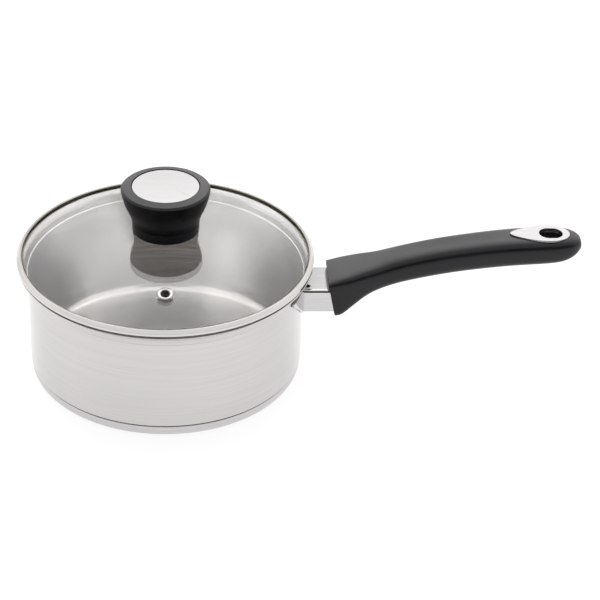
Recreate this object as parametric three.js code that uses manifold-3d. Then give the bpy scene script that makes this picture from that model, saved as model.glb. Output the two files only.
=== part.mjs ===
// Saucepan with a glass lid: millimetres, +Z up, handle along +X, origin at the centre of the base's underside.
import * as THREE from 'three';
import { mergeVertices } from 'three/addons/utils/BufferGeometryUtils.js';
import Module from 'manifold-3d';

const wasm = await Module();
wasm.setup();

// Driving dimensions
const gap = 0.3; // clearance between pieces that touch
const ringSegments = 48; // facets round the pan and the lid
const knobSegments = 32; // facets round the knob
const smallSegments = 16; // facets round fasteners and washers

const panRadius = 81;
const sheet = 0.8; // stainless sheet of the pan
const floorBottom = 3.7; // underside of the pan's floor, down inside the base cap
const bodyBottom = 8.1; // lower edge of the wall, above the cap's edge
const cornerRadius = 1.6;
const innerFillet = 8.5;
const flareStart = 64.5; // height where the wall opens into the lip
const lipRadius = 86.6;
const lipTop = 72.1;

const capRadius = 80.4;
const capTop = 7.8;
const capRestRadius = 73.5; // the flat that the pan stands on
const capCorner = 6; // height of the cap's rounded corner
const capSheet = 0.8;

const lidRadius = 85.3; // edge of the glass
const glassEdgeTop = 75.2;
const glassEdgeBottom = 73.2;
const glassApex = 92.5;
const glassFall = glassApex - glassEdgeTop;
const glassThickness = 3.2; // at the middle
const bandRadius = 87;
const bandTop = 76.5;
const bandSheet = 0.4;

const ventDistance = 60; // vent centre from the lid's axis, towards -Y
const ventHoleRadius = 2.3;
const ventFlangeRadius = 5;
const ventBarrelRadius = 3.2;

const knobTop = 120.5;
const knobRadius = 25.9;
const knobWaist = 19.6;
const knobSeat = 97.7; // top of the ring that the knob stands on
const knobDiscRadius = 19.5;
const insertRadius = 5;
const knobScrewRadius = 2.8;
const sealTop = 94; // top of the seal between the glass and the knob's insert

const bracketHalfWidth = 14;
const bracketTop = 58;
const bracketBottom = 42.5;
const bracketSheet = 1.2;
const bracketEnd = 105; // inside the grip
const flangeRadius = panRadius + 0.35;
const flangeReach = 36; // half-width of the wings that lie on the wall
const flangeTop = 62.5;

const gripStart = 97.5; // middle of the collar's slanted face
const gripSlant = Math.atan2(4.2, 20.5); // lean of the collar's face
const inlayStart = 202.3;
const inlayEnd = 238;
const inlayHalfWidth = 9.3;
const inlayThickness = 1.2;
const hangHoleStart = 219.7;
const hangHoleEnd = 233.5;
const hangHoleHalfWidth = 5.6;
const gripScrewPlace = 136; // along X
const gripScrewRadius = 2;
const gripScrewSeat = 5.2; // head's face below the tang's middle
const gripNutRadius = 4.2;
const tangSlope = THREE.MathUtils.degToRad(21.8);
const tangHeight = 66; // middle of the strip at the screw
const tangBack = 39;
const tangFront = 14;
const tangWidth = 14;
const tangThickness = 3;

const steel = { color: 0xcfcbc8, roughness: 0.28, metalness: 1 };
const satinSteel = { color: 0xbdbab8, roughness: 0.42, metalness: 1 };
const aluminium = { color: 0xb9bcc0, roughness: 0.5, metalness: 1 };
const brass = { color: 0xb99a4b, roughness: 0.4, metalness: 1 };
const phenolic = { color: 0x1d1d20, roughness: 0.6, metalness: 0 };
const silicone = { color: 0xd8d8d4, roughness: 0.8, metalness: 0 };
const glassLook = { color: 0xdfe6e4, roughness: 0.05, metalness: 0, transparent: true, opacity: 0.35 };

// Solids: a welded mesh goes in, and joins and cuts are made on closed bodies.
function toSolid(geometry) {
  const bare = geometry.clone();
  bare.deleteAttribute('normal');
  bare.deleteAttribute('uv');
  const welded = mergeVertices(bare, 1e-4);
  const kept = [];
  for (let i = 0; i < welded.index.count; i += 3) {
    const [a, b, c] = [0, 1, 2].map((k) => welded.index.getX(i + k));
    if (a !== b && b !== c && c !== a) kept.push(a, b, c);
  }
  const solid = solidFrom(welded.attributes.position.array, kept);
  if (solid.volume() > 0) return solid;
  for (let i = 0; i < kept.length; i += 3) [kept[i + 1], kept[i + 2]] = [kept[i + 2], kept[i + 1]];
  return solidFrom(welded.attributes.position.array, kept);
}

function solidFrom(positions, triangles) {
  const vertProperties = new Float32Array(positions);
  const triVerts = new Uint32Array(triangles);
  return new wasm.Manifold(new wasm.Mesh({ numProp: 3, vertProperties, triVerts }));
}

function toGeometry(solid) {
  const mesh = solid.getMesh();
  const geometry = new THREE.BufferGeometry();
  geometry.setAttribute('position', new THREE.BufferAttribute(mesh.vertProperties, 3));
  geometry.setIndex(new THREE.BufferAttribute(mesh.triVerts, 1));
  return geometry;
}

// A body turned about the Z axis from a profile of [radius, height] points.
function turned(profile, segments) {
  const points = profile.map(([radius, height]) => new THREE.Vector2(radius, height));
  return toSolid(new THREE.LatheGeometry(points, segments).rotateX(Math.PI / 2));
}

function ring(inner, outer, bottom, top, segments) {
  const corners = [[inner, bottom], [outer, bottom], [outer, top], [inner, top], [inner, bottom]];
  return turned(corners, segments);
}

function rod(radius, bottom, top, segments) {
  return turned([[0, bottom], [radius, bottom], [radius, top], [0, top]], segments);
}

// Points along a path drawn in the half-plane of radius and height.
function profileOf(draw, divisions) {
  const path = new THREE.Path();
  draw(path);
  return path.getPoints(divisions).map((point) => [point.x, point.y]);
}

// A plan outline in XY, raised from bottom to top.
function plate(shape, bottom, top, divisions) {
  const options = { depth: top - bottom, bevelEnabled: false, curveSegments: divisions };
  return toSolid(new THREE.ExtrudeGeometry(shape, options).translate(0, 0, bottom));
}

// A section in YZ, run along X from start to end.
function bar(shape, start, end, divisions) {
  const options = { depth: end - start, bevelEnabled: false, curveSegments: divisions };
  const geometry = new THREE.ExtrudeGeometry(shape, options);
  const turn = new THREE.Matrix4().set(0, 0, 1, start, 1, 0, 0, 0, 0, 1, 0, 0, 0, 0, 0, 1);
  return toSolid(geometry.applyMatrix4(turn));
}

function roundedRectangle(left, right, bottom, top, radius) {
  const shape = new THREE.Shape();
  shape.moveTo(left + radius, bottom);
  shape.lineTo(right - radius, bottom);
  shape.absarc(right - radius, bottom + radius, radius, -Math.PI / 2, 0);
  shape.absarc(right - radius, top - radius, radius, 0, Math.PI / 2);
  shape.absarc(left + radius, top - radius, radius, Math.PI / 2, Math.PI);
  shape.absarc(left + radius, bottom + radius, radius, Math.PI, Math.PI * 1.5);
  return shape;
}

// A slot along X with half-round ends.
function slot(start, end, halfWidth) {
  const shape = new THREE.Shape();
  shape.absarc(start + halfWidth, 0, halfWidth, Math.PI / 2, Math.PI * 1.5);
  shape.absarc(end - halfWidth, 0, halfWidth, -Math.PI / 2, Math.PI / 2);
  return shape;
}

// Height of an arc of revolution that falls from apex to edge over the lid's radius.
function domeHeight(radius, apex, edge) {
  const fall = apex - edge;
  const sphere = (lidRadius ** 2 + fall ** 2) / (2 * fall);
  return apex - sphere + Math.sqrt(sphere ** 2 - radius ** 2);
}

const glassTopAt = (radius) => domeHeight(radius, glassApex, glassEdgeTop);
const glassUnderAt = (radius) => domeHeight(radius, glassApex - glassThickness, glassEdgeBottom);

// Pan
// The pan's floor sits down inside the base cap, and the wall's lower edge stands over the cap's edge.
function panBody() {
  const wallInside = panRadius - sheet;
  const floorTop = floorBottom + sheet;
  const nest = capRadius - capSheet - gap - 0.1;
  const middle = wallInside - innerFillet;
  const outerFillet = innerFillet + sheet;
  const turn = Math.acos((nest - middle) / outerFillet);
  const outline = profileOf((path) => {
    path.moveTo(0, floorBottom);
    path.lineTo(middle, floorBottom);
    path.absarc(middle, floorTop + innerFillet, outerFillet, -Math.PI / 2, -turn);
    path.lineTo(nest, bodyBottom);
    path.lineTo(panRadius - cornerRadius, bodyBottom);
    path.absarc(panRadius - cornerRadius, bodyBottom + cornerRadius, cornerRadius, -Math.PI / 2, 0);
    path.lineTo(panRadius, flareStart);
    path.bezierCurveTo(
      panRadius, flareStart + 3.4, panRadius + 1.4, lipTop - 1, lipRadius - 1.8, lipTop - sheet);
    path.lineTo(lipRadius, lipTop - sheet);
    path.lineTo(lipRadius, lipTop);
    path.lineTo(lipRadius - 2, lipTop);
    path.bezierCurveTo(
      wallInside + 1.4, lipTop - 0.4, wallInside, flareStart + 3.8, wallInside, flareStart + 0.2);
    path.lineTo(wallInside, floorTop + innerFillet);
    path.absarc(wallInside - innerFillet, floorTop + innerFillet, innerFillet, 0, -Math.PI / 2, true);
    path.lineTo(0, floorTop);
  }, 3);
  return turned(outline, ringSegments);
}

function baseCap() {
  const inside = capRadius - capRestRadius - capSheet;
  const outline = profileOf((path) => {
    path.moveTo(0, 0);
    path.lineTo(capRestRadius, 0);
    path.absellipse(capRestRadius, capCorner, capRadius - capRestRadius, capCorner, -Math.PI / 2, 0);
    path.lineTo(capRadius, capTop);
    path.lineTo(capRadius - capSheet / 2, capTop);
    path.lineTo(capRadius - capSheet, capCorner);
    path.absellipse(capRestRadius, capCorner, inside, capCorner - capSheet, 0, -Math.PI / 2, true);
    path.lineTo(0, capSheet);
  }, 2);
  return turned(outline, ringSegments);
}

function baseCore() {
  const bottom = capSheet + gap;
  const reach = capRadius - capRestRadius - capSheet - gap;
  const outline = profileOf((path) => {
    path.moveTo(0, bottom);
    path.lineTo(capRestRadius, bottom);
    path.absellipse(capRestRadius, capCorner, reach, capCorner - bottom, -Math.PI / 2, 0);
    path.lineTo(0, capCorner);
  }, 2);
  const lower = rod(capRadius, 0, floorBottom - gap, ringSegments);
  return turned(outline, ringSegments).intersect(lower);
}

// Lid
function ventFrame() {
  const slope = Math.asin(ventDistance / ((lidRadius ** 2 + glassFall ** 2) / (2 * glassFall)));
  const place = new THREE.Matrix4().makeRotationX(slope);
  return place.setPosition(0, -ventDistance, glassTopAt(ventDistance));
}

function inVentFrame(solid) {
  return toSolid(toGeometry(solid).applyMatrix4(ventFrame()));
}

function lidGlass() {
  const steps = 6;
  const outline = [];
  for (let i = 0; i <= steps; i += 1) outline.push((lidRadius * i) / steps);
  const under = outline.map((radius) => [radius, glassUnderAt(radius)]);
  const over = outline.map((radius) => [radius, glassTopAt(radius)]).reverse();
  const dome = turned([...under, ...over], ringSegments);
  const stemHole = rod(knobScrewRadius + 1.2, 80, 100, smallSegments);
  const ventHole = inVentFrame(rod(ventBarrelRadius + gap, -8, 8, smallSegments));
  return dome.subtract(stemHole).subtract(ventHole);
}

function lidBand() {
  const mouth = lidRadius - 1.4;
  const bottom = glassEdgeBottom - 0.8;
  const bulge = bandRadius - 1.3;
  const outline = profileOf((path) => {
    path.moveTo(mouth, bandTop);
    path.lineTo(bulge - 0.4, bandTop);
    path.bezierCurveTo(bandRadius - 0.1, bandTop - 0.1, bandRadius + 0.1, bottom, bulge, bottom);
    path.lineTo(mouth, bottom);
    path.lineTo(mouth, bottom + bandSheet);
    path.lineTo(bulge - 0.1, bottom + bandSheet);
    path.bezierCurveTo(
      bandRadius - 0.6, bottom + 1, bandRadius - 0.6, bandTop - 1, bulge - 0.4, bandTop - bandSheet);
    path.lineTo(mouth, bandTop - bandSheet);
    path.lineTo(mouth, bandTop);
  }, 4);
  return turned(outline, ringSegments);
}

// The vent's eyelet passes through the glass, and its lower end is spread over a washer.
function ventEyelet() {
  const under = glassUnderAt(ventDistance) - glassTopAt(ventDistance);
  const outline = [
    [ventHoleRadius, under - 2], [ventBarrelRadius, under - 2], [ventBarrelRadius, gap],
    [ventFlangeRadius, gap], [ventFlangeRadius, gap + 0.4], [ventFlangeRadius - 1, gap + 1.1],
    [ventHoleRadius + 0.6, gap + 1.1], [ventHoleRadius, gap + 0.6], [ventHoleRadius, under - 2],
  ];
  return inVentFrame(turned(outline, smallSegments));
}

function ventWasher() {
  const top = glassUnderAt(ventDistance) - glassTopAt(ventDistance) - 0.45;
  return inVentFrame(ring(ventBarrelRadius + gap, ventFlangeRadius - 0.2, top - 0.8, top, smallSegments));
}

function knobBody() {
  const shoulder = knobTop - 3.2;
  const outline = profileOf((path) => {
    path.moveTo(insertRadius + gap, knobSeat);
    path.lineTo(knobWaist - 0.3, knobSeat);
    path.bezierCurveTo(
      knobWaist, knobSeat + 3, knobWaist + 1, knobSeat + 5, knobWaist + 3.1, knobSeat + 10);
    path.bezierCurveTo(
      knobWaist + 5, knobSeat + 14, knobRadius - 0.4, knobSeat + 15, knobRadius, shoulder);
    path.quadraticCurveTo(knobRadius, knobTop, knobRadius - 3.2, knobTop + 0.3);
    path.lineTo(knobDiscRadius + gap, knobTop + 0.2);
    path.lineTo(knobDiscRadius + gap, knobTop - 1.6);
    path.lineTo(insertRadius + gap, knobTop - 1.6);
    path.lineTo(insertRadius + gap, knobSeat);
  }, 4);
  const plug = rod(insertRadius + 1, knobTop - 8, knobTop - 1.6, smallSegments);
  return turned(outline, knobSegments).add(plug);
}

function knobBaseRing() {
  const seal = 11.6;
  const outline = [
    [insertRadius + gap, sealTop], [seal, sealTop], [seal, glassTopAt(seal) + gap + 0.1],
    [knobWaist - 0.6, glassTopAt(knobWaist) + gap + 0.1], [knobWaist - 0.1, glassTopAt(knobWaist) + 1],
    [knobWaist - 0.1, knobSeat - gap - 0.5], [knobWaist - 0.6, knobSeat - gap],
    [insertRadius + gap, knobSeat - gap], [insertRadius + gap, sealTop],
  ];
  return turned(outline, knobSegments);
}

function knobDisc() {
  const under = knobTop - 1.6 + gap;
  const outline = [
    [0, under], [knobDiscRadius, under], [knobDiscRadius, knobTop - 0.5],
    [knobDiscRadius - 0.5, knobTop], [0, knobTop],
  ];
  return turned(outline, knobSegments);
}

const insertTop = knobTop - 8 - gap;
const knobInsert = () => ring(knobScrewRadius + gap, insertRadius, sealTop, insertTop, smallSegments);

const knobSealTop = () => ring(insertRadius + 1, 11, glassApex + gap, sealTop - gap, knobSegments);

function knobSealBottom() {
  const top = glassUnderAt(10) - gap;
  return ring(knobScrewRadius + gap, 10, top - 0.8, top, knobSegments);
}

function knobWasher() {
  const top = glassUnderAt(10) - 2 * gap - 0.8;
  return ring(knobScrewRadius + gap, 9, top - 0.8, top, knobSegments);
}

function knobScrew() {
  const seat = glassUnderAt(10) - 3 * gap - 1.6;
  const head = [
    [0, seat - 2.4], [3, seat - 2.4], [4.6, seat - 1.4], [4.6, seat],
    [knobScrewRadius, seat], [knobScrewRadius, 108], [0, 108],
  ];
  const slotCut = toSolid(new THREE.BoxGeometry(12, 0.9, 2).translate(0, 0, seat - 2.4));
  return turned(head, smallSegments).subtract(slotCut);
}

// Handle bracket: a folded box section with two wings that lie on the pan's wall.
function handleBracket() {
  const halfWidth = bracketHalfWidth;
  const outer = roundedRectangle(-halfWidth, halfWidth, bracketBottom, bracketTop, 2.2);
  const inner = roundedRectangle(
    -halfWidth + bracketSheet, halfWidth - bracketSheet, bracketBottom + bracketSheet, bracketTop - bracketSheet, 1);
  const tube = bar(outer, 70, bracketEnd, 3).subtract(bar(inner, 60, bracketEnd + 10, 3));
  const wall = ring(flangeRadius, flangeRadius + 1.2, 30, 70, ringSegments);
  const wings = new THREE.Shape();
  wings.moveTo(-halfWidth, bracketBottom);
  wings.lineTo(halfWidth, bracketBottom);
  wings.lineTo(flangeReach, flangeTop - 2);
  wings.lineTo(flangeReach, flangeTop);
  wings.lineTo(halfWidth + 4, flangeTop);
  wings.lineTo(halfWidth, bracketTop);
  wings.lineTo(-halfWidth, bracketTop);
  wings.lineTo(-halfWidth - 4, flangeTop);
  wings.lineTo(-flangeReach, flangeTop);
  wings.lineTo(-flangeReach, flangeTop - 2);
  const window = toSolid(new THREE.BoxGeometry(
    30, 2 * (halfWidth - bracketSheet), bracketTop - bracketBottom - 2 * bracketSheet)
    .translate(80, 0, (bracketTop + bracketBottom) / 2));
  const flange = wall.intersect(bar(wings, 60, 90, 3)).subtract(window);
  const panSpace = rod(flangeRadius, 0, 90, ringSegments);
  const relief = rod(1.7, bracketTop - 4, bracketTop + 2, smallSegments);
  const reliefs = [-1, 1].map((side) => relief.translate([83.4, side * (halfWidth - 5.2), 0]));
  return tube.subtract(panSpace).add(flange).subtract(reliefs[0]).subtract(reliefs[1]);
}

// The tang's frame: X along the strip, Z away from the strip's face, origin at the screw.
function tangFrame() {
  const place = new THREE.Matrix4().makeRotationY(-tangSlope);
  return place.setPosition(gripScrewPlace, 0, tangHeight);
}

function inTangFrame(solid) {
  return toSolid(toGeometry(solid).applyMatrix4(tangFrame()));
}

function tangStrip(grow) {
  const length = tangBack + tangFront + 2 * grow;
  const strip = new THREE.BoxGeometry(length, tangWidth + 2 * grow, tangThickness + 2 * grow);
  return inTangFrame(toSolid(strip.translate((tangFront - tangBack) / 2, 0, 0)));
}

function handleTang() {
  const height = bracketTop - bracketBottom - 2 * (bracketSheet + gap);
  const width = 2 * (bracketHalfWidth - bracketSheet - gap) - 2;
  const foot = toSolid(new THREE.BoxGeometry(2.5, width, height - 2)
    .translate(bracketEnd - 3, 0, (bracketTop + bracketBottom) / 2));
  const bore = inTangFrame(rod(gripScrewRadius + gap, -9, 9, smallSegments));
  return foot.add(tangStrip(0)).subtract(bore);
}

function handleNut() {
  const bottom = tangThickness / 2 + gap;
  const hexagon = rod(gripNutRadius, bottom, bottom + 3.2, 6);
  return inTangFrame(hexagon.subtract(rod(gripScrewRadius + gap, -9, 9, smallSegments)));
}

function handleScrew() {
  const seat = -gripScrewSeat;
  const outline = [
    [0, seat - 2.2], [2.6, seat - 2.2], [3.6, seat - 1.4], [3.6, seat],
    [gripScrewRadius, seat], [gripScrewRadius, 6], [0, 6],
  ];
  const slotCut = toSolid(new THREE.BoxGeometry(9, 0.8, 1.8).translate(0, 0, seat - 2.2));
  return inTangFrame(turned(outline, smallSegments).subtract(slotCut));
}

// Grip: superellipse sections along a centre line that sinks from the raised tail down to the collar.
const gripStations = [
  // along X, top, underside, half-width, power of the superellipse
  [97.5, 61.5, 40.2, 15.4, 9],
  [99, 63.6, 39.4, 15.5, 8],
  [101.5, 65.4, 39.8, 15.6, 7],
  [105.5, 66.8, 42, 15.6, 6],
  [109, 67.9, 44.4, 15.4, 5],
  [113, 69.1, 47.6, 14.9, 4.4],
  [118, 70.5, 51.6, 14, 3.7],
  [125, 72.3, 55.1, 13, 3.2],
  [133, 75.3, 57.7, 12.3, 3],
  [141, 77.6, 60.2, 12, 3],
  [157, 81.6, 63.9, 12, 3],
  [173, 84.5, 67, 12, 3],
  [190, 87, 69.3, 12.1, 3],
  [205, 88.7, 71.1, 12.4, 3],
  [220, 89.4, 72, 12.5, 3],
  [231, 89.7, 72.8, 12, 3],
  [237, 89.3, 74.4, 10.8, 3],
  [241.5, 88.1, 77.2, 8.6, 3],
  [244.4, 86.4, 80.2, 5.4, 2.6],
];

function gripSection([x, top, bottom, halfWidth, power], count) {
  const slant = THREE.MathUtils.clamp(1 - (x - gripStart) / 12, 0, 1) * Math.tan(gripSlant);
  const middle = (top + bottom) / 2;
  const halfHeight = (top - bottom) / 2;
  const section = [];
  for (let i = 0; i < count; i += 1) {
    const angle = (2 * Math.PI * i) / count;
    const across = Math.sign(Math.cos(angle)) * Math.abs(Math.cos(angle)) ** (2 / power);
    const up = Math.sign(Math.sin(angle)) * Math.abs(Math.sin(angle)) ** (2 / power);
    section.push(new THREE.Vector3(x - up * halfHeight * slant, across * halfWidth, middle + up * halfHeight));
  }
  return section;
}

// A closed skin over a row of sections, with a fan over each end.
function loft(sections) {
  const count = sections[0].length;
  const positions = sections.flat().flatMap((point) => [point.x, point.y, point.z]);
  const index = [];
  for (let row = 0; row + 1 < sections.length; row += 1) {
    for (let i = 0; i < count; i += 1) {
      const a = row * count + i;
      const b = row * count + ((i + 1) % count);
      index.push(a, b, a + count, b, b + count, a + count);
    }
  }
  for (const row of [0, sections.length - 1]) {
    const centre = sections[row].reduce((sum, point) => sum.add(point), new THREE.Vector3()).divideScalar(count);
    const tip = positions.length / 3;
    positions.push(centre.x, centre.y, centre.z);
    for (let i = 0; i < count; i += 1) {
      const a = row * count + i;
      const b = row * count + ((i + 1) % count);
      if (row === 0) index.push(b, a, tip);
      else index.push(a, b, tip);
    }
  }
  const geometry = new THREE.BufferGeometry();
  geometry.setAttribute('position', new THREE.Float32BufferAttribute(positions, 3));
  geometry.setIndex(index);
  return toSolid(geometry);
}

function inlayOutline(grow) {
  const shape = new THREE.Shape();
  const nose = inlayStart - grow;
  const wide = 222;
  const half = inlayHalfWidth + grow;
  shape.moveTo(nose, 0);
  shape.bezierCurveTo(nose, -3.6, wide - 13, -half, wide, -half);
  shape.bezierCurveTo(wide + 9, -half, inlayEnd + grow, -half * 0.75, inlayEnd + grow, 0);
  shape.bezierCurveTo(inlayEnd + grow, half * 0.75, wide + 9, half, wide, half);
  shape.bezierCurveTo(wide - 13, half, nose, 3.6, nose, 0);
  return shape;
}

const inlayTop = 89.3;

function handleInlay() {
  const shape = inlayOutline(0);
  shape.holes.push(slot(hangHoleStart, hangHoleEnd, hangHoleHalfWidth));
  return plate(shape, inlayTop - inlayThickness, inlayTop, 8);
}

function handleGrip() {
  const body = loft(gripStations.map((station) => gripSection(station, 24)));
  const halfWidth = bracketHalfWidth + gap;
  const socketShape = roundedRectangle(
    -halfWidth, halfWidth, bracketBottom - gap, bracketTop + gap, 2.4);
  const socket = bar(socketShape, 90, bracketEnd + gap, 3);
  const recess = plate(inlayOutline(gap), inlayTop - inlayThickness - gap, 100, 8);
  const hole = plate(slot(hangHoleStart - 0.2, hangHoleEnd + 0.2, hangHoleHalfWidth + 0.2), 60, 100, 8);
  const screwHole = inTangFrame(rod(gripScrewRadius + gap, -12, 6.4, smallSegments));
  const headRoom = inTangFrame(rod(4, -14, -gripScrewSeat + gap, smallSegments));
  const nutRoom = inTangFrame(rod(gripNutRadius + gap, 0, tangThickness / 2 + 3.2 + 2 * gap, smallSegments));
  return body.subtract(socket).subtract(tangStrip(gap)).subtract(recess).subtract(hole)
    .subtract(screwHole).subtract(headRoom).subtract(nutRoom);
}

const look = (values) => new THREE.MeshStandardMaterial(values);

function piece(name, solid, values) {
  const mesh = new THREE.Mesh(toGeometry(solid), look(values));
  mesh.name = name;
  return mesh;
}

const pan = new THREE.Group();
pan.add(piece('pan_body', panBody(), steel));
pan.add(piece('base_cap', baseCap(), steel));
pan.add(piece('base_core', baseCore(), aluminium));
pan.add(piece('handle_bracket', handleBracket(), steel));
pan.add(piece('handle_tang', handleTang(), steel));
pan.add(piece('handle_nut', handleNut(), steel));
pan.add(piece('handle_screw', handleScrew(), steel));
pan.add(piece('handle_grip', handleGrip(), phenolic));
pan.add(piece('handle_inlay', handleInlay(), satinSteel));

const lid = new THREE.Group();
lid.add(piece('lid_glass', lidGlass(), glassLook));
lid.add(piece('lid_band', lidBand(), steel));
lid.add(piece('vent_eyelet', ventEyelet(), steel));
lid.add(piece('vent_washer', ventWasher(), steel));
lid.add(piece('knob_body', knobBody(), phenolic));
lid.add(piece('knob_base_ring', knobBaseRing(), satinSteel));
lid.add(piece('knob_disc', knobDisc(), satinSteel));
lid.add(piece('knob_insert', knobInsert(), brass));
lid.add(piece('knob_screw', knobScrew(), steel));
lid.add(piece('knob_washer', knobWasher(), steel));
lid.add(piece('knob_seal_top', knobSealTop(), silicone));
lid.add(piece('knob_seal_bottom', knobSealBottom(), silicone));

const saucepan = new THREE.Group();
saucepan.add(pan, lid);
export default saucepan;
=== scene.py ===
import bpy
import bmesh
from math import asin, cos, pi, radians, sin, sqrt
from mathutils import Matrix, Vector


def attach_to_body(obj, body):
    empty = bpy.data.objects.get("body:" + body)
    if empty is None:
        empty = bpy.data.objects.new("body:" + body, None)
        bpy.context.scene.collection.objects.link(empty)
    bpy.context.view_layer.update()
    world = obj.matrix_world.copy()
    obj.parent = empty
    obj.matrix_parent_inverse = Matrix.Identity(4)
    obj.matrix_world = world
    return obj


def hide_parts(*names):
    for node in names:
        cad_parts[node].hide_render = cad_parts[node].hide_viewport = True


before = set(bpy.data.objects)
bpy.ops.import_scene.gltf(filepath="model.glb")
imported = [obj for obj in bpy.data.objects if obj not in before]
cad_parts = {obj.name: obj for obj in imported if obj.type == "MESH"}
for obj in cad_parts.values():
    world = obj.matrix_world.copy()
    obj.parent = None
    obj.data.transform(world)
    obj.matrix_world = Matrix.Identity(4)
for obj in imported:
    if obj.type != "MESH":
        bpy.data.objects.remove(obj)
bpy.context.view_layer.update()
mm = 0.001  # sizes below are in millimetres
scene = bpy.context.scene
print("frame loaded")


# small helpers for nodes

def setInputs(node, values):
    for label, value in values.items():
        node.inputs[label].default_value = value


def addNode(tree, kind, values=None, **settings):
    node = tree.nodes.new(kind)
    for key, value in settings.items():
        setattr(node, key, value)
    setInputs(node, values or {})
    return node


def mathNode(tree, operation, first, second=None, third=None):
    node = addNode(tree, "ShaderNodeMath", operation=operation)
    for place, value in enumerate((first, second, third)):
        if isinstance(value, (int, float)):
            node.inputs[place].default_value = value
        elif value is not None:
            tree.links.new(value, node.inputs[place])
    return node.outputs[0]


def rangeNode(tree, value, fromLow, fromHigh, toLow, toHigh, smooth=False):
    node = addNode(tree, "ShaderNodeMapRange")
    if smooth:
        node.interpolation_type = "SMOOTHSTEP"
    tree.links.new(value, node.inputs["Value"])
    setInputs(node, {"From Min": fromLow, "From Max": fromHigh, "To Min": toLow, "To Max": toHigh})
    return node.outputs["Result"]


def mixColours(tree, mask, first, second):
    node = addNode(tree, "ShaderNodeMix", data_type="RGBA")
    tree.links.new(mask, node.inputs["Factor"])
    for label, value in (("A", first), ("B", second)):
        socket = [s for s in node.inputs if s.name == label and s.type == "RGBA"][0]
        socket.default_value = (*value, 1)
    return [s for s in node.outputs if s.type == "RGBA"][0]


def newGroup(name, inputs, outputs):
    group = bpy.data.node_groups.new(name, "ShaderNodeTree")
    for label, kind, value in inputs:
        socket = group.interface.new_socket(label, in_out="INPUT", socket_type=kind)
        if value is not None:
            socket.default_value = value
    for label, kind in outputs:
        group.interface.new_socket(label, in_out="OUTPUT", socket_type=kind)
    return group, addNode(group, "NodeGroupInput"), addNode(group, "NodeGroupOutput")


def placeGroup(tree, group, values):
    node = addNode(tree, "ShaderNodeGroup", node_tree=group)
    setInputs(node, values)
    return node


# shared effects

def makeTurnedBrush():
    # fine rings round the pan's axis, with broad soft changes along each ring
    group, entry, leave = newGroup(
        "turnedBrush",
        [("Vector", "NodeSocketVector", None), ("Lines", "NodeSocketFloat", 900.0),
         ("Wander", "NodeSocketFloat", 1.2)],
        [("Tone", "NodeSocketFloat"), ("Cloud", "NodeSocketFloat")])
    split = addNode(group, "ShaderNodeSeparateXYZ")
    group.links.new(entry.outputs["Vector"], split.inputs[0])
    flat = addNode(group, "ShaderNodeCombineXYZ")
    group.links.new(split.outputs["X"], flat.inputs["X"])
    group.links.new(split.outputs["Y"], flat.inputs["Y"])
    radius = addNode(group, "ShaderNodeVectorMath", operation="LENGTH")
    group.links.new(flat.outputs[0], radius.inputs[0])
    heading = addNode(group, "ShaderNodeVectorMath", operation="NORMALIZE")
    group.links.new(flat.outputs[0], heading.inputs[0])
    around = addNode(group, "ShaderNodeVectorMath", operation="SCALE")
    group.links.new(heading.outputs[0], around.inputs[0])
    group.links.new(entry.outputs["Wander"], around.inputs["Scale"])
    across = addNode(group, "ShaderNodeCombineXYZ")
    distance = mathNode(group, "ADD", radius.outputs["Value"], split.outputs["Z"])
    lines = mathNode(group, "MULTIPLY", distance, entry.outputs["Lines"])
    group.links.new(lines, across.inputs["Z"])
    place = addNode(group, "ShaderNodeVectorMath", operation="ADD")
    group.links.new(around.outputs[0], place.inputs[0])
    group.links.new(across.outputs[0], place.inputs[1])
    fine = addNode(group, "ShaderNodeTexNoise", {"Scale": 1.0, "Detail": 3.0, "Roughness": 0.6})
    group.links.new(place.outputs[0], fine.inputs["Vector"])
    cloud = addNode(group, "ShaderNodeTexNoise", {"Scale": 14.0, "Detail": 2.0})
    group.links.new(entry.outputs["Vector"], cloud.inputs["Vector"])
    group.links.new(fine.outputs["Fac"], leave.inputs["Tone"])
    group.links.new(cloud.outputs["Fac"], leave.inputs["Cloud"])
    return group


def makeStraightBrush():
    # short grain lines along X
    group, entry, leave = newGroup(
        "straightBrush",
        [("Vector", "NodeSocketVector", None), ("Lines", "NodeSocketFloat", 2500.0),
         ("Stretch", "NodeSocketFloat", 60.0)],
        [("Tone", "NodeSocketFloat"), ("Cloud", "NodeSocketFloat")])
    split = addNode(group, "ShaderNodeSeparateXYZ")
    group.links.new(entry.outputs["Vector"], split.inputs[0])
    place = addNode(group, "ShaderNodeCombineXYZ")
    for axis, amount in (("X", "Stretch"), ("Y", "Lines"), ("Z", "Lines")):
        scaled = mathNode(group, "MULTIPLY", split.outputs[axis], entry.outputs[amount])
        group.links.new(scaled, place.inputs[axis])
    fine = addNode(group, "ShaderNodeTexNoise", {"Scale": 1.0, "Detail": 2.0})
    group.links.new(place.outputs[0], fine.inputs["Vector"])
    cloud = addNode(group, "ShaderNodeTexNoise", {"Scale": 40.0, "Detail": 2.0})
    group.links.new(entry.outputs["Vector"], cloud.inputs["Vector"])
    group.links.new(fine.outputs["Fac"], leave.inputs["Tone"])
    group.links.new(cloud.outputs["Fac"], leave.inputs["Cloud"])
    return group


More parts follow.
